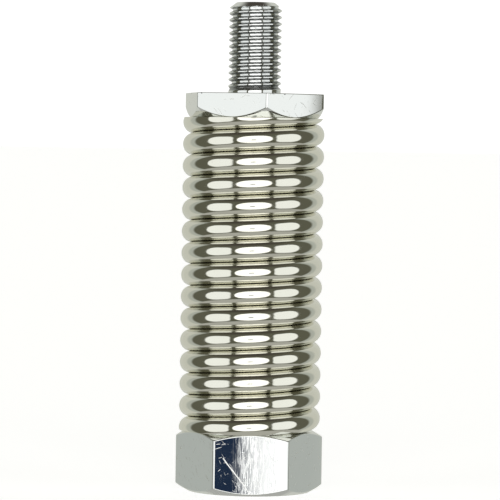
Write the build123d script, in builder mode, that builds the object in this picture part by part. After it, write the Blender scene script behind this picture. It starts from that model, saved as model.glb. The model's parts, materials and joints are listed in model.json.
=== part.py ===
from build123d import *
import os
from math import atan2, radians, sqrt, tan

# Antenna spring mount: a hexagonal base with a blind thread, a close-wound coil gripped at each
# end by a helically grooved hub, a thin top hexagon with a threaded stud, and an earthing braid
# inside the coil. Millimetres and degrees. The origin is the middle of the base's underside, +Z
# runs up the axis, and azimuth is measured from +X towards +Y.

full_turn = 360
trim_margin = 2.0

# Hexagons
hex_flats = 19.05
hex_corner_radius = hex_flats / sqrt(3)
base_hex_height = 9.0
top_hex_underside = 55.4
top_hex_height = 3.6
top_hex_turn = 8.3
base_top_chamfer = 30.0
base_bottom_chamfer = 30.0
base_bottom_face_radius = 9.05
top_hex_chamfer = 45.0

# Coil spring: one round wire, close wound, right-handed, ground flat at both ends
wire_radius = 3.175 / 2
coil_radius = 8.9
coil_pitch = 3.236
coil_datum_height = 7.742
wire_start = 80
wire_bend = 2880
wire_end = 5425

# Grooved hubs that the end turns are screwed onto
hub_radius = 8.1
groove_clearance = 0.02
base_hub_top = 16.2
top_hub_bottom = 48.9
base_groove_turns = (0, 3)
top_groove_turns = (12, 16)
groove_cuts_per_turn = 4

# Stud, held at its crest radius, and the blind socket's thread, 26 to the inch
stud_radius = 3.9
stud_top = 72.5
stud_tip_radius = 2.8
stud_tip_slope = 37.0
thread_pitch = 25.4 / 26
thread_depth = 0.52
thread_crest_flat = 0.34
thread_flank = 30.0
thread_mouth = 0.2
socket_minor_radius = 3.44
socket_depth = 9.4
socket_drill_angle = 31.0
socket_lead_in = 0.6

# Earthing braid, its crimped ring terminals, screws and lock washers
screw_radius = 2.0
screw_hole_radius = 2.05
screw_clearance_radius = 2.15
screw_hole_depth = 4.8
screw_grip = 4.2
screw_head_radius = 3.3
screw_head_height = 2.2
screw_head_fillet = 0.9
recess_width = 0.8
recess_length = 3.4
recess_depth = 1.2
recess_taper = 15.0
washer_outer_radius = 3.4
washer_thickness = 0.9
washer_slot = 0.7
ring_radius = 4.1
ring_thickness = 0.7
tongue_width = 3.0
barrel_offset = 5.2
barrel_half_width = 1.7
barrel_half_thickness = 1.2
barrel_length = 4.0
braid_half_width = 1.4
braid_half_thickness = 0.8
braid_sag = 4.6
braid_straight_end = 2.5
braid_bend_share = 0.45

os.makedirs("parts", exist_ok=True)


def wire_height(turned):
    """Height of the wire's centre where the helix has turned through this many degrees."""
    return coil_datum_height + coil_pitch * turned / full_turn


def cone_skirt(face_radius, face_height, slope, outward):
    """Ring that trims a hexagon's corners: outward is +1 for an upper face, -1 for a lower one."""
    reach = hex_corner_radius + trim_margin - face_radius
    drop = reach * tan(radians(slope))
    with BuildPart(mode=Mode.PRIVATE) as skirt:
        with BuildSketch(Plane.XZ):
            with BuildLine():
                Polyline(
                    (face_radius, face_height),
                    (face_radius + reach, face_height - outward * drop),
                    (face_radius + reach, face_height + outward * trim_margin),
                    (face_radius, face_height + outward * trim_margin),
                    close=True,
                )
            make_face()
        revolve(axis=Axis.Z)
    return skirt.part


def helix_sweep(turned_from, turned_to, section_radius):
    """Round wire along the coil's helix between two angles."""
    with BuildPart(mode=Mode.PRIVATE) as wire:
        with BuildLine() as path:
            Helix(coil_pitch, coil_pitch * (turned_to - turned_from) / full_turn, coil_radius)
        with BuildSketch(Plane(origin=path.line @ 0, z_dir=path.line % 0)):
            Circle(section_radius)
        sweep(path=path.line, is_frenet=True)
    return Location((0, 0, wire_height(turned_from)), (0, 0, turned_from)) * wire.part


def cut_wire_groove(first_turn, last_turn):
    """Cut the groove that the wire is screwed into, in short lengths."""
    cut = full_turn // groove_cuts_per_turn
    for turned in range(first_turn * full_turn, last_turn * full_turn, cut):
        add(
            helix_sweep(turned, turned + cut, wire_radius + groove_clearance),
            mode=Mode.SUBTRACT,
        )


def thread_groove():
    """One turn of the socket's V groove, reaching from inside the hole to the thread's root."""
    crest_half = (thread_pitch - thread_crest_flat) / 2
    root_half = crest_half - thread_depth * tan(radians(thread_flank))
    mouth_half = crest_half + thread_mouth * tan(radians(thread_flank))
    with BuildPart(mode=Mode.PRIVATE) as groove:
        with BuildLine() as path:
            Helix(thread_pitch, thread_pitch, socket_minor_radius)
        with BuildSketch(Plane.XZ):
            with BuildLine():
                Polyline(
                    (socket_minor_radius + thread_depth, -root_half),
                    (socket_minor_radius + thread_depth, root_half),
                    (socket_minor_radius - thread_mouth, mouth_half),
                    (socket_minor_radius - thread_mouth, -mouth_half),
                    close=True,
                )
            make_face()
        sweep(path=path.line, is_frenet=True)
    return groove.part


# Base fitting: hexagon, grooved hub, blind threaded socket and a tapped hole for the screw
with BuildPart() as base_fitting:
    with BuildSketch(Plane.XY.offset(base_hex_height)):
        Circle(hub_radius)
    extrude(amount=base_hub_top - base_hex_height)
    cut_wire_groove(*base_groove_turns)
    with BuildSketch(Plane.XY):
        RegularPolygon(hex_corner_radius, 6)
    extrude(amount=base_hex_height)
    add(
        cone_skirt(hex_flats / 2, base_hex_height, base_top_chamfer, 1),
        mode=Mode.SUBTRACT,
    )
    add(
        cone_skirt(base_bottom_face_radius, 0, base_bottom_chamfer, -1),
        mode=Mode.SUBTRACT,
    )
    with BuildSketch(Plane.XZ):
        with BuildLine():
            Polyline(
                (0, 0),
                (socket_minor_radius + socket_lead_in, 0),
                (socket_minor_radius, socket_lead_in),
                (socket_minor_radius, socket_depth),
                (0, socket_depth + socket_minor_radius * tan(radians(socket_drill_angle))),
                close=True,
            )
        make_face()
    revolve(axis=Axis.Z, mode=Mode.SUBTRACT)
    for turn in range(round(socket_depth / thread_pitch)):
        add(Pos(0, 0, (turn - 1) * thread_pitch) * thread_groove(), mode=Mode.SUBTRACT)
    with Locations((0, 0, base_hub_top)):
        Hole(screw_hole_radius, screw_hole_depth)

base_fitting.part.label = "base_fitting"
export_step(base_fitting.part, "parts/base_fitting.step")

# Top fitting: hexagon and stud above, grooved hub with a tapped hole below
stud_foot = top_hex_underside + top_hex_height
with BuildPart() as top_fitting:
    with BuildSketch(Plane.XY.offset(top_hub_bottom)):
        Circle(hub_radius)
    extrude(amount=top_hex_underside - top_hub_bottom)
    cut_wire_groove(*top_groove_turns)
    with BuildSketch(Plane.XY.offset(stud_foot)):
        Circle(stud_radius)
    extrude(amount=stud_top - stud_foot)
    add(
        cone_skirt(stud_tip_radius, stud_top, stud_tip_slope, 1),
        mode=Mode.SUBTRACT,
    )
    with BuildSketch(Plane.XY.offset(top_hex_underside)):
        RegularPolygon(hex_corner_radius, 6, rotation=top_hex_turn - 90)
    extrude(amount=top_hex_height)
    add(
        cone_skirt(hex_flats / 2, top_hex_underside, top_hex_chamfer, -1),
        mode=Mode.SUBTRACT,
    )
    with Locations(Location((0, 0, top_hub_bottom), (180, 0, 0))):
        Hole(screw_hole_radius, screw_hole_depth)

top_fitting.part.label = "top_fitting"
export_step(top_fitting.part, "parts/top_fitting.step")

# Coil: one wire, held as a lower and an upper half that meet where the bending hinge lies, on
# the wire's own line at the right-hand side
grinding_size = 2 * (coil_radius + 2 * wire_radius)

with BuildPart() as coil_spring_lower:
    add(helix_sweep(wire_start, wire_bend, wire_radius))
    with BuildSketch(Plane.XY.offset(base_hex_height)):
        Rectangle(grinding_size, grinding_size)
    extrude(amount=-grinding_size, mode=Mode.SUBTRACT)

coil_spring_lower.part.label = "coil_spring_lower"
export_step(coil_spring_lower.part, "parts/coil_spring_lower.step")

with BuildPart() as coil_spring_upper:
    add(helix_sweep(wire_bend, wire_end, wire_radius))
    with BuildSketch(Plane.XY.offset(top_hex_underside)):
        Rectangle(grinding_size, grinding_size)
    extrude(amount=grinding_size, mode=Mode.SUBTRACT)

coil_spring_upper.part.label = "coil_spring_upper"
export_step(coil_spring_upper.part, "parts/coil_spring_upper.step")


def ring_terminal(seat, up):
    """Crimped ring terminal on a hub's end face: up is +1 on the base hub, -1 on the top hub."""
    barrel_foot = seat + up * 2 * ring_thickness
    with BuildPart(mode=Mode.PRIVATE) as terminal:
        with BuildSketch(Plane.XY.offset(seat)):
            Circle(ring_radius)
            with Locations((0, barrel_offset / 2)):
                Rectangle(tongue_width, barrel_offset)
            Circle(screw_clearance_radius, mode=Mode.SUBTRACT)
        extrude(amount=up * ring_thickness)
        with BuildSketch(Plane.XY.offset(seat)):
            with Locations((0, barrel_offset)):
                Rectangle(tongue_width, ring_thickness)
        extrude(amount=up * 3 * ring_thickness)
        with BuildSketch(Plane.XY.offset(barrel_foot)):
            with Locations((0, barrel_offset)):
                Ellipse(barrel_half_width, barrel_half_thickness)
        extrude(amount=up * barrel_length)
    return terminal.part


def pan_screw(seat, up):
    """Cross-recess pan-head screw: the head's underside is at seat, the shank runs the other way."""
    with BuildPart(mode=Mode.PRIVATE) as screw:
        with BuildSketch(Plane.XZ):
            with BuildLine():
                Polyline(
                    (0, seat - up * screw_grip),
                    (screw_radius, seat - up * screw_grip),
                    (screw_radius, seat),
                    (screw_head_radius, seat),
                    (screw_head_radius, seat + up * screw_head_height),
                    (0, seat + up * screw_head_height),
                    close=True,
                )
            make_face()
        revolve(axis=Axis.Z)
        rim = screw.edges().filter_by(GeomType.CIRCLE).group_by(Axis.Z)[-1 if up > 0 else 0]
        fillet(rim, screw_head_fillet)
        with BuildSketch(Plane.XY.offset(seat + up * screw_head_height)):
            Rectangle(recess_length, recess_width)
            Rectangle(recess_width, recess_length)
        extrude(amount=-up * recess_depth, taper=recess_taper, mode=Mode.SUBTRACT)
    return screw.part


def split_washer(seat, up):
    """Split lock washer with one straight cut."""
    with BuildPart(mode=Mode.PRIVATE) as washer:
        with BuildSketch(Plane.XY.offset(seat)):
            Circle(washer_outer_radius)
            Circle(screw_clearance_radius, mode=Mode.SUBTRACT)
            with Locations((washer_outer_radius, 0)):
                Rectangle(washer_outer_radius, washer_slot, mode=Mode.SUBTRACT)
        extrude(amount=up * washer_thickness)
    return washer.part


# Terminals, washers and screws, one set on the inner end face of each hub
for side, seat, up in (("lower", base_hub_top, 1), ("upper", top_hub_bottom, -1)):
    with BuildPart() as terminal:
        add(ring_terminal(seat, up))
    terminal.part.label = f"{side}_ring_terminal"
    export_step(terminal.part, f"parts/{side}_ring_terminal.step")

    with BuildPart() as washer:
        add(split_washer(seat + up * ring_thickness, up))
    washer.part.label = f"{side}_lock_washer"
    export_step(washer.part, f"parts/{side}_lock_washer.step")

    with BuildPart() as screw:
        add(pan_screw(seat + up * (ring_thickness + washer_thickness), up))
    screw.part.label = f"{side}_terminal_screw"
    export_step(screw.part, f"parts/{side}_terminal_screw.step")

# Earthing braid: flat woven lead with spare length, from one crimp barrel to the other
barrel_reach = 2 * ring_thickness + barrel_length
braid_start = base_hub_top + barrel_reach
braid_end = top_hub_bottom - barrel_reach
braid_middle = (braid_start + braid_end) / 2
route = [
    (0, barrel_offset, braid_start),
    (0, barrel_offset, braid_start + braid_straight_end),
    (0, -braid_sag, braid_middle - braid_straight_end / 2),
    (0, -braid_sag, braid_middle + braid_straight_end / 2),
    (0, barrel_offset, braid_end - braid_straight_end),
    (0, barrel_offset, braid_end),
]
slope_rise = braid_middle - braid_start - 1.5 * braid_straight_end
half_turn_angle = atan2(barrel_offset + braid_sag, slope_rise) / 2
bend_radius = braid_bend_share * braid_straight_end / tan(half_turn_angle)
with BuildPart() as ground_braid:
    with BuildLine() as braid_path:
        FilletPolyline(*route, radius=bend_radius)
    with BuildSketch(Plane.XY.offset(braid_start)):
        with Locations((0, barrel_offset)):
            Ellipse(braid_half_width, braid_half_thickness)
    sweep(path=braid_path.line)

ground_braid.part.label = "ground_braid"
export_step(ground_braid.part, "parts/ground_braid.step")
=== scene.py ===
import json
import math

import bpy
from mathutils import Matrix, Vector

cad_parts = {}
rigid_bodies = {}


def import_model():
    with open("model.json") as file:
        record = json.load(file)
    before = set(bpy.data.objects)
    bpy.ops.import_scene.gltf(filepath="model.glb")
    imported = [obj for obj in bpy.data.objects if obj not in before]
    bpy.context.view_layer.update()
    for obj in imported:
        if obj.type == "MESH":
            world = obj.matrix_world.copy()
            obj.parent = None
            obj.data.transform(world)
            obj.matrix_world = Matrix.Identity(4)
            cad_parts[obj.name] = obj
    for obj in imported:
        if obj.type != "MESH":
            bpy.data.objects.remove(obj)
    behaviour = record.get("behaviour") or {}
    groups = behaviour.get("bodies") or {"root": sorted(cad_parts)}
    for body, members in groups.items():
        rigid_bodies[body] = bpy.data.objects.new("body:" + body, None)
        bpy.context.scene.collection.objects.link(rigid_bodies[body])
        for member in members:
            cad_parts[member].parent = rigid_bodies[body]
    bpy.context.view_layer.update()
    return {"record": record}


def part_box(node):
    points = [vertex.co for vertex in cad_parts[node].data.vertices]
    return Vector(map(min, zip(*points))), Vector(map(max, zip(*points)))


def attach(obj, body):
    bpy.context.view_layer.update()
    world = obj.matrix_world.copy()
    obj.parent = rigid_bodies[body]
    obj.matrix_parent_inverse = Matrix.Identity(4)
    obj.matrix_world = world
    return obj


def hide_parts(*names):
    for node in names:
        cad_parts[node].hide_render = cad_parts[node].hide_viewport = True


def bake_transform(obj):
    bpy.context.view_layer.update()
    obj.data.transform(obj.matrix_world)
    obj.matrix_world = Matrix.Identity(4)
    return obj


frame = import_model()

# Antenna spring mount. Metres and radians. Azimuth runs from +X towards +Y.

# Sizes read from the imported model
base_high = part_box("base_fitting")[1]
top_low, top_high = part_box("top_fitting")
coil_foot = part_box("coil_spring_lower")[0][2]
coil_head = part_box("coil_spring_upper")[1][2]
hub_top = base_high[2]
hub_bottom = top_low[2]
stud_top = top_high[2]
hinge = frame["record"]["behaviour"]["joints"][0]
coil_radius = hinge["pos_m"][0]
bend_height = hinge["pos_m"][2]
coil_pitch = math.tau * coil_radius * hinge["axis"][2] / hinge["axis"][1]

# Hexagons
APOTHEM = base_high[1]
CORNER_ROUND = 0.00032
FACE_CROWN = 0.00006
CHAMFER_RADIUS = APOTHEM - 0.00008
BASE_CHAMFER = math.tan(math.radians(30))
FOOT_RADIUS = 0.00905
TOP_CHAMFER = 1.0
TOP_HEX_HEIGHT = 0.0036
TOP_HEX_CORNER = math.radians(278.3)
EDGE_SOFT = 0.00014
MOST_TRIM = 0.45

# Coil
WIRE_RADIUS = 0.0015875
WIRE_START = math.radians(80)
WIRE_BEND = math.radians(2880)
WIRE_END = math.radians(5425)
WIRE_RISE = coil_pitch / 2 + 0.000004
WIRE_STEP = math.radians(5)
WIRE_SIDES = 40
GROOVE_CLEARANCE = 0.00002
BASE_GROOVE_TURNS = (0, 3)
TOP_GROOVE_TURNS = (12, 16)
CHART_SCALE = 100

# Hubs and holes
HUB_RADIUS = 0.0081
HUB_ROWS = 56
SCREW_HOLE = 0.00205
SCREW_DEPTH = 0.0048

# Threads
THREAD_PITCH = 0.0254 / 26
THREAD_DEPTH = 0.00053
THREAD_CREST = 0.00016
FLANK = math.tan(math.radians(30))
ROWS_PER_PITCH = 20
STUD_RADIUS = 0.0039
STUD_RUNOUT = 0.0017
TIP_RADIUS = 0.0028
TIP_SLOPE = math.tan(math.radians(37))
SOCKET_RADIUS = 0.00344
SOCKET_MOUTH = 0.0006
SOCKET_DEPTH = 0.0094
DRILL_SLOPE = math.tan(math.radians(31))
ROOT_ROUNDING = 0.4
FLANK_EDGE = 0.12
SOCKET_LIP = 0.0002
STUD_LEAD = 0.0009

# Mesh columns round a fitting, and the extra ones beside each corner in degrees
AZIMUTH_STEP = math.radians(2)
LEAST_AZIMUTH_STEP = 0.001
CORNER_SPREAD = [0.3, 0.6, 0.9, 1.3]

stud_foot = coil_head + TOP_HEX_HEIGHT


def smooth(value):
    """Smooth step from 0 to 1."""
    value = min(1.0, max(0.0, value))
    return value * value * (3 - 2 * value)


def build_mesh(name, points, faces, sharp_angle=0.6):
    """Object from points and faces, with smooth shading that breaks at sharp edges."""
    mesh = bpy.data.meshes.new(name)
    mesh.from_pydata(points, [], faces)
    mesh.validate()
    mesh.shade_smooth()
    mesh.set_sharp_from_angle(angle=sharp_angle)
    piece = bpy.data.objects.new(name, mesh)
    bpy.context.collection.objects.link(piece)
    return piece


def hex_radius(azimuth, corner):
    """Distance from the axis to a hexagon with rounded corners and slightly crowned faces."""
    off_corner = abs((azimuth - corner + math.pi / 6) % (math.pi / 3) - math.pi / 6)
    across = math.pi / 6 - off_corner
    reach = math.tan(across) / math.tan(math.pi / 6)
    side = (APOTHEM - FACE_CROWN * reach * reach) / math.cos(across)
    middle = (APOTHEM - FACE_CROWN - CORNER_ROUND) / math.cos(math.pi / 6)
    tangent = math.atan2(CORNER_ROUND / 2, middle + CORNER_ROUND * math.cos(math.pi / 6))
    if off_corner > tangent:
        return side
    offset = middle * math.sin(off_corner)
    return min(side, middle * math.cos(off_corner) + math.sqrt(CORNER_ROUND ** 2 - offset ** 2))


def hex_azimuths(corner):
    """Azimuths round a hexagon, closer together at its corners."""
    angles = {round(k * AZIMUTH_STEP, 6) for k in range(round(math.tau / AZIMUTH_STEP))}
    for side in range(6):
        middle = corner + side * math.pi / 3
        for spread in [0.0] + CORNER_SPREAD + [-s for s in CORNER_SPREAD]:
            angles.add(round((middle + math.radians(spread)) % math.tau, 6))
    ordered = sorted(angles)
    following = ordered[1:] + [ordered[0] + math.tau]
    return [a for a, b in zip(ordered, following) if b - a > LEAST_AZIMUTH_STEP]


def soften(profile, steps=4):
    """Round the corners of a profile of (radius, height, trim) points."""
    rounded = [profile[0][:2]]
    for before, here, after in zip(profile, profile[1:], profile[2:]):
        if here[2] == 0:
            rounded.append(here[:2])
            continue
        corner = Vector(here[:2])
        ends = []
        for other in (before, after):
            along = Vector(other[:2]) - corner
            trim = min(here[2], MOST_TRIM * along.length)
            ends.append(corner + along.normalized() * trim)
        for step in range(steps + 1):
            t = step / steps
            point = (1 - t) ** 2 * ends[0] + 2 * t * (1 - t) * corner + t * t * ends[1]
            rounded.append((point.x, point.y))
    rounded.append(profile[-1][:2])
    return rounded


def lathe(name, azimuths, profile_at):
    """Closed mesh whose profile, from pole to pole, may change with the azimuth."""
    columns = [profile_at(azimuth) for azimuth in azimuths]
    rows = len(columns[0]) - 2
    points = [(0, 0, columns[0][0][1]), (0, 0, columns[0][-1][1])]
    for azimuth, column in zip(azimuths, columns):
        for radius, height in column[1:-1]:
            points.append((radius * math.cos(azimuth), radius * math.sin(azimuth), height))
    faces = []
    for column in range(len(azimuths)):
        here = 2 + column * rows
        there = 2 + (column + 1) % len(azimuths) * rows
        faces.append((0, here, there))
        for row in range(rows - 1):
            faces.append((here + row, here + row + 1, there + row + 1, there + row))
        faces.append((here + rows - 1, 1, there + rows - 1))
    return build_mesh(name, points, faces)


def groove_radius(height, azimuth, first_turn, last_turn):
    """Radius of a hub with the helical groove that the wire sits in."""
    groove = WIRE_RADIUS + GROOVE_CLEARANCE
    radius = HUB_RADIUS
    for turn in range(first_turn, last_turn):
        centre = wire_height(azimuth + turn * math.tau)
        if abs(height - centre) < groove:
            radius = min(radius, coil_radius - math.sqrt(groove ** 2 - (height - centre) ** 2))
    return radius


def wire_height(turned):
    """Height of the wire's centre where the helix has turned through this angle."""
    return bend_height + coil_pitch * (turned - WIRE_BEND) / math.tau


def thread_cut(height, azimuth):
    """Depth of a right-handed V thread's groove."""
    phase = (height / THREAD_PITCH - azimuth / math.tau) % 1.0
    off_groove = abs(phase - 0.5) * THREAD_PITCH
    root_half = (THREAD_PITCH - THREAD_CREST) / 2 - THREAD_DEPTH * FLANK
    share = (root_half + THREAD_DEPTH * FLANK - off_groove) / FLANK / THREAD_DEPTH
    share = min(1.0, max(0.0, share))
    return THREAD_DEPTH * ((1 - ROOT_ROUNDING) * share + ROOT_ROUNDING * smooth(share))


def stud_radius(height, azimuth):
    """Radius of the stud, with its run-out above the hexagon and its chamfered tip."""
    cut = thread_cut(height, azimuth) * smooth((height - stud_foot) / STUD_RUNOUT)
    return min(STUD_RADIUS - cut, TIP_RADIUS + (stud_top - height) / TIP_SLOPE)


def socket_radius(height, azimuth):
    """Radius of the threaded socket, with its countersunk mouth."""
    cut = thread_cut(height, azimuth) * smooth((SOCKET_DEPTH - height) / THREAD_PITCH)
    return max(SOCKET_RADIUS + cut, SOCKET_RADIUS + SOCKET_MOUTH - height)


def heights(start, end, count):
    """Evenly spaced heights between two ends, without the ends."""
    return [start + (end - start) * (k + 1) / (count + 1) for k in range(count)]


def base_profile(azimuth):
    """Base fitting, from the top of its drilled hole round the outside to the screw hole."""
    outer = hex_radius(azimuth, 0)
    thread_rows = round(SOCKET_DEPTH / THREAD_PITCH * ROWS_PER_PITCH)
    tip = SOCKET_DEPTH + SOCKET_RADIUS * DRILL_SLOPE
    profile = [(0, tip, 0), (SOCKET_RADIUS, SOCKET_DEPTH, 0)]
    for height in heights(SOCKET_DEPTH, 0, thread_rows):
        profile.append((socket_radius(height, azimuth), height, 0))
    profile += [
        (SOCKET_RADIUS + SOCKET_MOUTH, 0, 0),
        (FOOT_RADIUS, 0, EDGE_SOFT),
        (outer, (outer - FOOT_RADIUS) * BASE_CHAMFER, EDGE_SOFT),
        (outer, coil_foot - (outer - CHAMFER_RADIUS) * BASE_CHAMFER, EDGE_SOFT),
        (CHAMFER_RADIUS, coil_foot, EDGE_SOFT),
        (groove_radius(coil_foot, azimuth, *BASE_GROOVE_TURNS), coil_foot, 0),
    ]
    for height in heights(coil_foot, hub_top, HUB_ROWS):
        profile.append((groove_radius(height, azimuth, *BASE_GROOVE_TURNS), height, 0))
    profile += [
        (groove_radius(hub_top, azimuth, *BASE_GROOVE_TURNS), hub_top, 0),
        (SCREW_HOLE, hub_top, EDGE_SOFT / 2),
        (SCREW_HOLE, hub_top - SCREW_DEPTH, 0),
        (0, hub_top - SCREW_DEPTH, 0),
    ]
    return soften(profile)


def top_profile(azimuth):
    """Top fitting, from the stud's tip round the outside to the screw hole below."""
    outer = hex_radius(azimuth, TOP_HEX_CORNER)
    thread_rows = round((stud_top - stud_foot) / THREAD_PITCH * ROWS_PER_PITCH)
    profile = [(0, stud_top, 0), (TIP_RADIUS, stud_top, EDGE_SOFT)]
    for height in heights(stud_top, stud_foot, thread_rows):
        profile.append((stud_radius(height, azimuth), height, 0))
    profile += [
        (STUD_RADIUS, stud_foot, 0),
        (outer, stud_foot, EDGE_SOFT),
        (outer, coil_head + (outer - CHAMFER_RADIUS) * TOP_CHAMFER, EDGE_SOFT),
        (CHAMFER_RADIUS, coil_head, EDGE_SOFT),
        (groove_radius(coil_head, azimuth, *TOP_GROOVE_TURNS), coil_head, 0),
    ]
    for height in heights(coil_head, hub_bottom, HUB_ROWS):
        profile.append((groove_radius(height, azimuth, *TOP_GROOVE_TURNS), height, 0))
    profile += [
        (groove_radius(hub_bottom, azimuth, *TOP_GROOVE_TURNS), hub_bottom, 0),
        (SCREW_HOLE, hub_bottom, EDGE_SOFT / 2),
        (SCREW_HOLE, hub_bottom + SCREW_DEPTH, 0),
        (0, hub_bottom + SCREW_DEPTH, 0),
    ]
    return soften(profile)


def section_point(turned, angle, low, high):
    """Point on the wire's surface and its normal, with the ends ground flat at two heights."""
    centre = wire_height(turned)
    outward = Vector((math.cos(turned), math.sin(turned), 0))
    radial = WIRE_RADIUS * math.cos(angle)
    rise = WIRE_RISE * math.sin(angle)
    normal = outward * math.cos(angle) + Vector((0, 0, math.sin(angle)))
    ground = False
    for plane, side in ((low, -1), (high, 1)):
        depth = (centre + rise - plane) * side
        if depth > 0:
            chord = WIRE_RADIUS * math.sqrt(max(0.0, 1 - ((plane - centre) / WIRE_RISE) ** 2))
            radial = max(-chord, min(chord, radial))
            rise = plane - centre
            normal = Vector((0, 0, side))
            ground = True
    point = outward * (coil_radius + radial) + Vector((0, 0, centre + rise))
    return point, normal, ground


def wire(name, start, end):
    """Closed round wire along the helix, with exact normals and a map along its length."""
    stations = round((end - start) / WIRE_STEP)
    points, normals, ground = [], [], []
    for station in range(stations + 1):
        turned = start + (end - start) * station / stations
        for side in range(WIRE_SIDES):
            point, normal, flat = section_point(
                turned, math.tau * side / WIRE_SIDES, coil_foot, coil_head
            )
            points.append(point)
            normals.append(normal)
            ground.append(flat)
    faces = []
    for station in range(stations):
        for side in range(WIRE_SIDES):
            here = station * WIRE_SIDES + side
            beside = station * WIRE_SIDES + (side + 1) % WIRE_SIDES
            faces.append((here, here + WIRE_SIDES, beside + WIRE_SIDES, beside))
    tube_faces = len(faces)
    last = stations * WIRE_SIDES
    faces.append(tuple(range(WIRE_SIDES)))
    faces.append(tuple(last + side for side in reversed(range(WIRE_SIDES))))
    piece = build_mesh(name, points, faces)
    mesh = piece.data
    chart = mesh.uv_layers.new(name="along_wire")
    loop_normals = []
    for polygon in mesh.polygons:
        is_cap = polygon.index >= tube_faces
        is_flat = all(ground[v] for v in polygon.vertices)
        for loop in polygon.loop_indices:
            vertex = mesh.loops[loop].vertex_index
            station, side = divmod(vertex, WIRE_SIDES)
            wraps = side == 0 and not is_cap and polygon.vertices[2] % WIRE_SIDES == 0
            chart.data[loop].uv = (
                station * WIRE_STEP * coil_radius * CHART_SCALE,
                1.0 if wraps else side / WIRE_SIDES,
            )
            straight = is_cap or is_flat
            clean = normals[vertex]
            if ground[vertex] and not straight:
                angle = math.tau * side / WIRE_SIDES
                turned = start + (end - start) * station / stations
                clean = Vector((
                    math.cos(turned) * math.cos(angle),
                    math.sin(turned) * math.cos(angle),
                    math.sin(angle),
                ))
            loop_normals.append(polygon.normal.copy() if straight else clean)
    mesh.normals_split_custom_set(loop_normals)
    return piece


# ---- Braid -------------------------------------------------------------------------------

BRAID_HALF_WIDTH = 0.0014
BRAID_HALF_THICKNESS = 0.0008
BRAID_OFFSET = 0.0052
BRAID_SAG = 0.0046
BRAID_STRAIGHT = 0.0025
BRAID_RELIEF = 0.00009
BRAID_CARRIERS = 16
BRAID_LAY = 0.0042
BRAID_SIDES = 96
BRAID_STEPS = 260


def braid():
    """Flat woven lead along a smooth spline from one crimp barrel to the other."""
    low, high = (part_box("ground_braid")[end][2] for end in (0, 1))
    middle = (low + high) / 2
    route = [
        (0, BRAID_OFFSET, low),
        (0, BRAID_OFFSET, low + BRAID_STRAIGHT),
        (0, -BRAID_SAG, middle - BRAID_STRAIGHT / 2),
        (0, -BRAID_SAG, middle + BRAID_STRAIGHT / 2),
        (0, BRAID_OFFSET, high - BRAID_STRAIGHT),
        (0, BRAID_OFFSET, high),
    ]
    curve = bpy.data.curves.new("braid_route", "CURVE")
    curve.dimensions = "3D"
    spline = curve.splines.new("NURBS")
    spline.points.add(len(route) - 1)
    for point, place in zip(spline.points, route):
        point.co = (*place, 1)
    spline.order_u = 3
    spline.use_endpoint_u = True
    spline.resolution_u = 64
    holder = bpy.data.objects.new("braid_route", curve)
    bpy.context.collection.objects.link(holder)
    bpy.context.view_layer.update()
    path = [v.co.copy() for v in bpy.data.meshes.new_from_object(holder).vertices]
    bpy.data.objects.remove(holder)
    bpy.data.curves.remove(curve)

    travelled = [0.0]
    for a, b in zip(path, path[1:]):
        travelled.append(travelled[-1] + (b - a).length)
    points = []
    index = 0
    for step in range(BRAID_STEPS + 1):
        along = travelled[-1] * step / BRAID_STEPS
        while index < len(path) - 2 and travelled[index + 1] < along:
            index += 1
        share = (along - travelled[index]) / (travelled[index + 1] - travelled[index])
        place = path[index].lerp(path[index + 1], share)
        tangent = (path[index + 1] - path[index]).normalized()
        across = Vector((1, 0, 0))
        through = tangent.cross(across).normalized()
        winding = math.tau * along / BRAID_LAY * 2
        for side in range(BRAID_SIDES):
            angle = math.tau * side / BRAID_SIDES
            left = math.sin(BRAID_CARRIERS / 2 * angle + winding)
            right = math.sin(BRAID_CARRIERS / 2 * angle - winding)
            relief = BRAID_RELIEF * (max(abs(left), abs(right)) - 1)
            points.append(
                place
                + across * (BRAID_HALF_WIDTH + relief) * math.cos(angle)
                + through * (BRAID_HALF_THICKNESS + relief) * math.sin(angle)
            )
    faces = []
    for step in range(BRAID_STEPS):
        for side in range(BRAID_SIDES):
            here = step * BRAID_SIDES + side
            beside = step * BRAID_SIDES + (side + 1) % BRAID_SIDES
            faces.append((here, beside, beside + BRAID_SIDES, here + BRAID_SIDES))
    last = BRAID_STEPS * BRAID_SIDES
    faces.append(tuple(reversed(range(BRAID_SIDES))))
    faces.append(tuple(last + side for side in range(BRAID_SIDES)))
    return build_mesh("braid_weave", points, faces)


# ---- Materials ---------------------------------------------------------------------------

# Softness of pits and of the patches that they lie in
PIT_EDGE = 0.07
PATCH_EDGE = 0.08

# Marks on the lower hexagon's front face
FRONT_FACE = -0.009
SCRATCH_SLOPE = 0.78
SCRATCH_FOOT = 0.0005
SCRATCH_TOP = 0.0056
SCRATCH_HALF_WIDTH = 0.0001
SCRATCH_CORE = 0.00004
SCRATCH_WOBBLE = 0.0003
WORN_LEFT = (-0.0032, 0.0008)
WORN_RIGHT = (0.0048, 0.0022)
WORN_TOP = 0.009

# Nicks on the upper hexagon's rim
RIM_DROP = 0.00012
RIM_HALF_WIDTH = 0.00011
RIM_CORE = 0.00007

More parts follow.
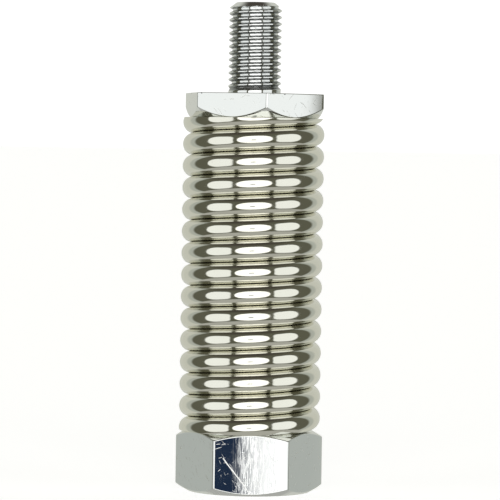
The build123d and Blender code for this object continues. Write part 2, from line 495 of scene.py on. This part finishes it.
class Nodes:
    """Short calls for the nodes of one material or world."""

    def __init__(self, tree):
        self.tree = tree
        tree.nodes.clear()

    def add(self, kind, inputs=None, **settings):
        node = self.tree.nodes.new(kind)
        for key, value in settings.items():
            setattr(node, key, value)
        for key, value in (inputs or {}).items():
            self.put(node.inputs[key], value)
        return node

    def put(self, socket, value):
        if isinstance(value, bpy.types.NodeSocket):
            self.tree.links.new(value, socket)
        else:
            socket.default_value = value

    def math(self, operation, a, b=0.0, clamp=False):
        node = self.add("ShaderNodeMath", {0: a, 1: b}, operation=operation, use_clamp=clamp)
        return node.outputs[0]

    def ramp(self, value, low, high, to_low=0.0, to_high=1.0):
        inputs = {"Value": value, "From Min": low, "From Max": high}
        inputs.update({"To Min": to_low, "To Max": to_high})
        node = self.add("ShaderNodeMapRange", inputs, interpolation_type="SMOOTHSTEP")
        return node.outputs[0]

    def mix(self, factor, a, b):
        node = self.add("ShaderNodeMix", data_type="RGBA")
        self.put(node.inputs[0], factor)
        self.put(node.inputs[6], a)
        self.put(node.inputs[7], b)
        return node.outputs[2]

    def stretch(self, vector, scale):
        return self.add("ShaderNodeMapping", {"Vector": vector, "Scale": scale}).outputs[0]

    def turn(self, vector, angles):
        return self.add("ShaderNodeMapping", {"Vector": vector, "Rotation": angles}).outputs[0]

    def noise(self, vector, scale, detail=2.0, roughness=0.5):
        inputs = {"Vector": vector, "Scale": scale, "Detail": detail, "Roughness": roughness}
        return self.add("ShaderNodeTexNoise", inputs).outputs[0]

    def voronoi(self, vector, scale):
        return self.add("ShaderNodeTexVoronoi", {"Vector": vector, "Scale": scale}).outputs[0]


def metal(name):
    """New material with a metallic shader, its node helper and object coordinates."""
    material = bpy.data.materials.new(name)
    material.use_nodes = True
    nodes = Nodes(material.node_tree)
    shader = nodes.add("ShaderNodeBsdfPrincipled")
    shader.inputs["Metallic"].default_value = 1.0
    out = nodes.add("ShaderNodeOutputMaterial")
    nodes.tree.links.new(shader.outputs[0], out.inputs[0])
    coordinates = nodes.add("ShaderNodeTexCoord")
    return material, nodes, shader, coordinates


def scratches(nodes, place, count, length, width, amount):
    """Fine straight marks in several directions, as a mask from 0 to 1."""
    total = None
    for k in range(count):
        turned = nodes.turn(place, (0.9 * k + 0.3, 0.7 * k + 0.4, 1.9 * k + 0.5))
        lines = nodes.noise(nodes.stretch(turned, (width, length, length)), 1.0, 1.0)
        mask = nodes.ramp(lines, 1 - amount, 1 - amount + 0.03)
        total = mask if total is None else nodes.math("MAXIMUM", total, mask)
    return total


def pits(nodes, place, scale, size, patch_scale, rarity):
    """Small round pits in scattered patches, as a mask from 0 to 1."""
    pit = nodes.ramp(nodes.voronoi(place, scale), size, size - PIT_EDGE)
    patch = nodes.ramp(nodes.noise(place, patch_scale), rarity, rarity + PATCH_EDGE)
    return nodes.math("MULTIPLY", pit, patch)


def long_scratch(nodes, place, split):
    """One slanting scratch on the lower hexagon's front face."""
    wobble = nodes.math("MULTIPLY", nodes.noise(place, 700.0), SCRATCH_WOBBLE)
    line = nodes.math("ADD", nodes.math("MULTIPLY", split[2], SCRATCH_SLOPE), split[0])
    line = nodes.math("ADD", nodes.math("SUBTRACT", line, SCRATCH_FOOT), wobble)
    line = nodes.ramp(nodes.math("ABSOLUTE", line), SCRATCH_HALF_WIDTH, SCRATCH_CORE)
    low = nodes.math("LESS_THAN", split[2], SCRATCH_TOP)
    front = nodes.math("LESS_THAN", split[1], FRONT_FACE)
    return nodes.math("MULTIPLY", line, nodes.math("MULTIPLY", low, front))


def worn_patch(nodes, split):
    """Worn middle of the lower hexagon's front face, as a mask from 0 to 1."""
    worn = nodes.ramp(split[0], *WORN_LEFT)
    worn = nodes.math("MULTIPLY", worn, nodes.ramp(split[0], *WORN_RIGHT))
    worn = nodes.math("MULTIPLY", worn, nodes.math("LESS_THAN", split[1], FRONT_FACE))
    return nodes.math("MULTIPLY", worn, nodes.math("LESS_THAN", split[2], WORN_TOP))


def rim_nicks(nodes, place, split):
    """Dark nicks along the upper hexagon's top rim, as a mask from 0 to 1."""
    rim = nodes.math("ABSOLUTE", nodes.math("SUBTRACT", split[2], stud_foot - RIM_DROP))
    rim = nodes.ramp(rim, RIM_HALF_WIDTH, RIM_CORE)
    return nodes.math("MULTIPLY", rim, nodes.ramp(nodes.noise(place, 900.0, 3.0), 0.60, 0.64))


def chrome_material():
    """Bright plate with fine scratches, pits, a worn patch, one long scratch in front, and
    painted shade on the thread flanks.
    """
    material, nodes, shader, coordinates = metal("chrome_plate")
    place = coordinates.outputs["Object"]
    split = nodes.add("ShaderNodeSeparateXYZ", {0: place}).outputs
    # Thread flank mask: rougher, duller plate there, and a darker colour that is painted shade
    # in the grooves.
    flank_shade = nodes.add("ShaderNodeAttribute", attribute_name="flank_shade").outputs["Fac"]
    worn = worn_patch(nodes, split)
    brushed = nodes.noise(nodes.stretch(place, (7500.0, 7500.0, 520.0)), 1.0, 3.0)
    brushed = nodes.math("MULTIPLY", nodes.ramp(brushed, 0.50, 0.62), worn)
    scratch = scratches(nodes, place, 6, 420.0, 9000.0, 0.25)
    mark = nodes.math("MAXIMUM", scratch, pits(nodes, place, 900.0, 0.12, 320.0, 0.60))
    mark = nodes.math("MAXIMUM", mark, nodes.math("MULTIPLY", brushed, 0.4))
    mark = nodes.math("MAXIMUM", mark, long_scratch(nodes, place, split))
    haze = nodes.noise(place, 260.0, 4.0, 0.6)
    rough = nodes.ramp(haze, 0.35, 0.75, 0.025, 0.075)
    for mask, added in ((mark, 0.42), (flank_shade, 0.22), (worn, 0.08)):
        rough = nodes.math("ADD", rough, nodes.math("MULTIPLY", mask, added))
    nodes.put(shader.inputs["Roughness"], rough)
    tint = nodes.mix(haze, (0.83, 0.85, 0.85, 1), (0.87, 0.88, 0.87, 1))
    tint = nodes.mix(mark, tint, (0.95, 0.95, 0.93, 1))
    tint = nodes.mix(rim_nicks(nodes, place, split), tint, (0.07, 0.07, 0.08, 1))
    # Painted shade: the thread flanks get a darker base colour.
    nodes.put(shader.inputs["Base Color"], nodes.mix(flank_shade, tint, (0.33, 0.34, 0.34, 1)))
    ripple = nodes.noise(place, 420.0, 2.0)
    height = nodes.math("SUBTRACT", nodes.math("MULTIPLY", ripple, 0.12), mark)
    bump = nodes.add("ShaderNodeBump", {"Height": height, "Strength": 0.32, "Distance": 0.00003})
    nodes.put(shader.inputs["Normal"], bump.outputs[0])
    return material


def wire_material():
    """Polished drawn wire: faint lines along its length, small nicks, a warm tint, and painted
    shade in the crevices where the turns touch.
    """
    material, nodes, shader, coordinates = metal("polished_wire")
    place = coordinates.outputs["Object"]
    chart = coordinates.outputs["UV"]
    drawn = nodes.noise(nodes.stretch(chart, (0.8, 60.0, 1.0)), 1.0, 3.0)
    haze = nodes.noise(place, 240.0, 3.0, 0.6)
    pit = pits(nodes, place, 700.0, 0.11, 260.0, 0.55)
    rough = nodes.ramp(haze, 0.3, 0.75, 0.05, 0.11)
    rough = nodes.math("ADD", rough, nodes.math("MULTIPLY", pit, 0.3))
    around = nodes.add("ShaderNodeSeparateXYZ", {0: chart}).outputs[1]
    outer = nodes.math("ABSOLUTE", nodes.math("SUBTRACT", around, 0.5))
    # Crevice where neighbouring turns touch: rougher, and a darker tint there is painted shade.
    crevice_shade = nodes.ramp(outer, 0.285, 0.25)
    rough = nodes.math("ADD", rough, nodes.math("MULTIPLY", crevice_shade, 0.45))
    nodes.put(shader.inputs["Roughness"], rough)
    tint = nodes.mix(haze, (0.80, 0.79, 0.71, 1), (0.87, 0.86, 0.785, 1))
    # Painted shade: darker tint in the crevices between the turns.
    tint = nodes.mix(crevice_shade, tint, (0.56, 0.545, 0.46, 1))
    nodes.put(shader.inputs["Base Color"], nodes.mix(pit, tint, (0.55, 0.52, 0.45, 1)))
    height = nodes.math("SUBTRACT", nodes.math("MULTIPLY", drawn, 0.35), pit)
    bump = nodes.add("ShaderNodeBump", {"Height": height, "Strength": 0.22, "Distance": 0.00002})
    nodes.put(shader.inputs["Normal"], bump.outputs[0])
    return material


def plated_material(name, light, dark, roughness, grain):
    """Plated small part: mottled colour, fine grain and slight wear."""
    material, nodes, shader, coordinates = metal(name)
    place = coordinates.outputs["Object"]
    mottle = nodes.noise(place, 500.0, 4.0, 0.6)
    fine = nodes.noise(place, grain, 3.0)
    nodes.put(shader.inputs["Base Color"], nodes.mix(mottle, dark, light))
    spread = nodes.ramp(mottle, 0.3, 0.7, roughness - 0.08, roughness + 0.1)
    nodes.put(shader.inputs["Roughness"], spread)
    bump = nodes.add("ShaderNodeBump", {"Height": fine, "Strength": 0.25, "Distance": 0.00003})
    nodes.put(shader.inputs["Normal"], bump.outputs[0])
    return material


# ---- Pieces ------------------------------------------------------------------------------

NORMAL_WEIGHT = 80

chrome = chrome_material()
polished = wire_material()
tinned_braid = plated_material(
    "tinned_braid", (0.74, 0.72, 0.66, 1), (0.50, 0.47, 0.42, 1), 0.38, 6000.0
)
tinned_brass = plated_material(
    "tinned_brass", (0.80, 0.77, 0.66, 1), (0.66, 0.62, 0.50, 1), 0.30, 3000.0
)
zinc = plated_material("zinc_plate", (0.78, 0.80, 0.82, 1), (0.62, 0.65, 0.68, 1), 0.28, 2500.0)


def mark_shaded_flanks(piece, low, high, inner, outer):
    """Mark the points on a thread's flanks, between crest and root, for their duller plate and
    the darker colour that is painted shade in the grooves.
    """
    mesh = piece.data
    flank_shade = mesh.attributes.new("flank_shade", "FLOAT", "POINT")
    for vertex, entry in zip(mesh.vertices, flank_shade.data):
        radius = math.hypot(vertex.co.x, vertex.co.y)
        if low < vertex.co.z < high and inner < radius < outer:
            share = (radius - inner) / (outer - inner)
            entry.value = smooth(share / FLANK_EDGE) * smooth((1 - share) / FLANK_EDGE)


def weight_normals(piece):
    """Keep broad faces flat in shading beside their small rounded edges."""
    modifier = piece.modifiers.new("weighted_normals", "WEIGHTED_NORMAL")
    modifier.keep_sharp = True
    modifier.weight = NORMAL_WEIGHT


base_body = lathe("base_hexagon", hex_azimuths(0), base_profile)
base_body.data.materials.append(chrome)
mark_shaded_flanks(base_body, SOCKET_LIP, SOCKET_DEPTH, SOCKET_RADIUS, SOCKET_RADIUS + THREAD_DEPTH)
weight_normals(base_body)
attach(base_body, "base")
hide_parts("base_fitting")

top_body = lathe("stud_hexagon", hex_azimuths(TOP_HEX_CORNER), top_profile)
top_body.data.materials.append(chrome)
mark_shaded_flanks(top_body, stud_foot, stud_top - STUD_LEAD, STUD_RADIUS - THREAD_DEPTH, STUD_RADIUS)
weight_normals(top_body)
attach(top_body, "top")
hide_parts("top_fitting")

# The wire in two pieces, below and above the bend angle
for name, node, start, end in (
    ("coil_lower_turns", "coil_spring_lower", WIRE_START, WIRE_BEND),
    ("coil_upper_turns", "coil_spring_upper", WIRE_BEND, WIRE_END),
):
    turns = wire(name, start, end)
    turns.data.materials.append(polished)
    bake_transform(turns)
    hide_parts(node)

weave = braid()
weave.data.materials.append(tinned_braid)
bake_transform(weave)
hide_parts("ground_braid")

kept = {
    "ring_terminal": tinned_brass,
    "lock_washer": zinc,
    "terminal_screw": zinc,
}
for side in ("lower", "upper"):
    for kind, material in kept.items():
        node = bpy.data.objects[f"{side}_{kind}"]
        if node.material_slots:
            for slot in node.material_slots:
                slot.material = material
        else:
            node.data.materials.append(material)

# ---- Studio ------------------------------------------------------------------------------

FLOOR_SIZE = 40.0
FLOOR_GAP = 0.00002
PAPER_GLOW = 0.72

floor = build_mesh(
    "floor",
    [(x * FLOOR_SIZE, y * FLOOR_SIZE, 0) for x, y in ((-1, -1), (1, -1), (1, 1), (-1, 1))],
    [(0, 1, 2, 3)],
)
floor.location.z = -FLOOR_GAP
floor.visible_glossy = False  # the metal shows the surround in its place
paper = bpy.data.materials.new("pale_paper")
paper.use_nodes = True
sheet = Nodes(paper.node_tree)
matt = sheet.add("ShaderNodeBsdfDiffuse", {"Color": (0.86, 0.86, 0.86, 1)})
glow = sheet.add("ShaderNodeEmission", {"Color": (1, 1, 1, 1), "Strength": PAPER_GLOW})
both = sheet.add("ShaderNodeAddShader", {0: matt.outputs[0], 1: glow.outputs[0]})
sheet.add("ShaderNodeOutputMaterial", {0: both.outputs[0]})
floor.data.materials.append(paper)


# Light and colour of the surround, linear
FRONT_PANEL = (1.45, 1.45, 1.43, 1)
SIDE_PANEL = (1.0, 1.02, 1.0, 1)
REAR_SIDE = (0.455, 0.48, 0.445, 1)
REAR_MIDDLE = (0.61, 0.62, 0.56, 1)
DARK_SIDE = (0.115, 0.115, 0.085, 1)
CEILING = (0.065, 0.058, 0.048, 1)
TABLE = (0.44, 0.44, 0.41, 1)
DARK_CARD = (0.015, 0.028, 0.058, 1)
BACKDROP = (1.1, 1.1, 1.1, 1)

# Degrees round from the front, and up: centre and half sizes of the panels, edges of the rest
FRONT_HALF_SIZES = (29.0, 36.0)
SIDE_CENTRE = 58.75
SIDE_HALF_SIZES = (22.75, 35.0)
DARK_SIDE_EDGE = (109, 117)
REAR_MIDDLE_EDGE = (123, 133)
CEILING_EDGE = (38, 66)
TABLE_EDGE = (-38, -42)
CARD_LEFT = (-7.0, -5.0)
CARD_RIGHT = (3.7, 0.5)
CARD_DROP = 5.6
CARD_HALF_HEIGHT = (3.2, 2.4)


def panel_mask(nodes, across, upward, squareness, softness):
    """1 inside a rounded panel, from the two distances over its half sizes."""
    total = nodes.math(
        "ADD",
        nodes.math("POWER", nodes.math("ABSOLUTE", across), squareness),
        nodes.math("POWER", nodes.math("ABSOLUTE", upward), squareness),
    )
    return nodes.ramp(total, 1 + softness, 1 - softness)


def studio():
    """Surround of soft light panels. side is the angle from the front, tall the angle up."""
    world = bpy.data.worlds.new("studio")
    bpy.context.scene.world = world
    world.use_nodes = True
    nodes = Nodes(world.node_tree)
    direction = nodes.add("ShaderNodeTexCoord").outputs["Generated"]
    split = nodes.add("ShaderNodeSeparateXYZ", {0: direction}).outputs
    back = nodes.math("MULTIPLY", split[1], -1.0)
    side = nodes.math("ARCTAN2", split[0], back)
    side = nodes.math("MULTIPLY", side, math.degrees(1))
    tall = nodes.math("MULTIPLY", nodes.math("ARCSINE", split[2]), math.degrees(1))
    away = nodes.math("ABSOLUTE", side)

    # Room: dark at the sides, lighter behind the object, a lamp-lit table below
    rear = nodes.mix(nodes.ramp(away, *REAR_MIDDLE_EDGE), REAR_SIDE, REAR_MIDDLE)
    colour = nodes.mix(nodes.ramp(away, *DARK_SIDE_EDGE), DARK_SIDE, rear)
    colour = nodes.mix(nodes.ramp(tall, *CEILING_EDGE), colour, CEILING)
    colour = nodes.mix(nodes.ramp(tall, *TABLE_EDGE), colour, TABLE)

    # Side panels, then the rounded panel in front
    across = nodes.math("DIVIDE", nodes.math("SUBTRACT", away, SIDE_CENTRE), SIDE_HALF_SIZES[0])
    upward = nodes.math("DIVIDE", tall, SIDE_HALF_SIZES[1])
    colour = nodes.mix(panel_mask(nodes, across, upward, 3.6, 0.22), colour, SIDE_PANEL)
    across = nodes.math("DIVIDE", away, FRONT_HALF_SIZES[0])
    upward = nodes.math("DIVIDE", tall, FRONT_HALF_SIZES[1])
    colour = nodes.mix(panel_mask(nodes, across, upward, 2.6, 0.1), colour, FRONT_PANEL)

    # Small dark card, low in front
    card = nodes.math("MULTIPLY", nodes.ramp(side, *CARD_LEFT), nodes.ramp(side, *CARD_RIGHT))
    near = nodes.math("ABSOLUTE", nodes.math("ADD", tall, CARD_DROP))
    card = nodes.math("MULTIPLY", card, nodes.ramp(near, *CARD_HALF_HEIGHT))
    colour = nodes.mix(card, colour, DARK_CARD)

    # The camera sees a plain backdrop in place of the surround
    shown = nodes.add("ShaderNodeLightPath").outputs["Is Camera Ray"]
    colour = nodes.mix(shown, colour, BACKDROP)
    light = nodes.add("ShaderNodeBackground", {"Color": colour, "Strength": 1.0})
    nodes.add("ShaderNodeOutputWorld", {0: light.outputs[0]})


studio()

# ---- Camera ------------------------------------------------------------------------------

CAMERA_DISTANCE = 0.495
CAMERA_AZIMUTH = math.radians(-1.8)
CAMERA_HEIGHT = 0.0513
AIM_HEIGHT = 0.0358
AIM_SIDE = -0.0003
CAMERA_ROLL = math.radians(0.9)
LENS = 240.0
SENSOR_WIDTH = 36.0

camera_data = bpy.data.cameras.new("camera")
camera_data.lens = LENS
camera_data.sensor_width = SENSOR_WIDTH
camera_data.clip_start = 0.01
camera_data.clip_end = 100.0
camera = bpy.data.objects.new("camera", camera_data)
bpy.context.collection.objects.link(camera)
camera.location = (
    CAMERA_DISTANCE * math.sin(CAMERA_AZIMUTH),
    -CAMERA_DISTANCE * math.cos(CAMERA_AZIMUTH),
    CAMERA_HEIGHT,
)
aim = Vector((AIM_SIDE, 0, AIM_HEIGHT)) - camera.location
facing = aim.to_track_quat("-Z", "Y").to_matrix().to_4x4()
camera.matrix_world = (
    Matrix.Translation(camera.location) @ facing @ Matrix.Rotation(CAMERA_ROLL, 4, "Z")
)
bpy.context.scene.camera = camera
bpy.context.scene.view_settings.view_transform = "Standard"
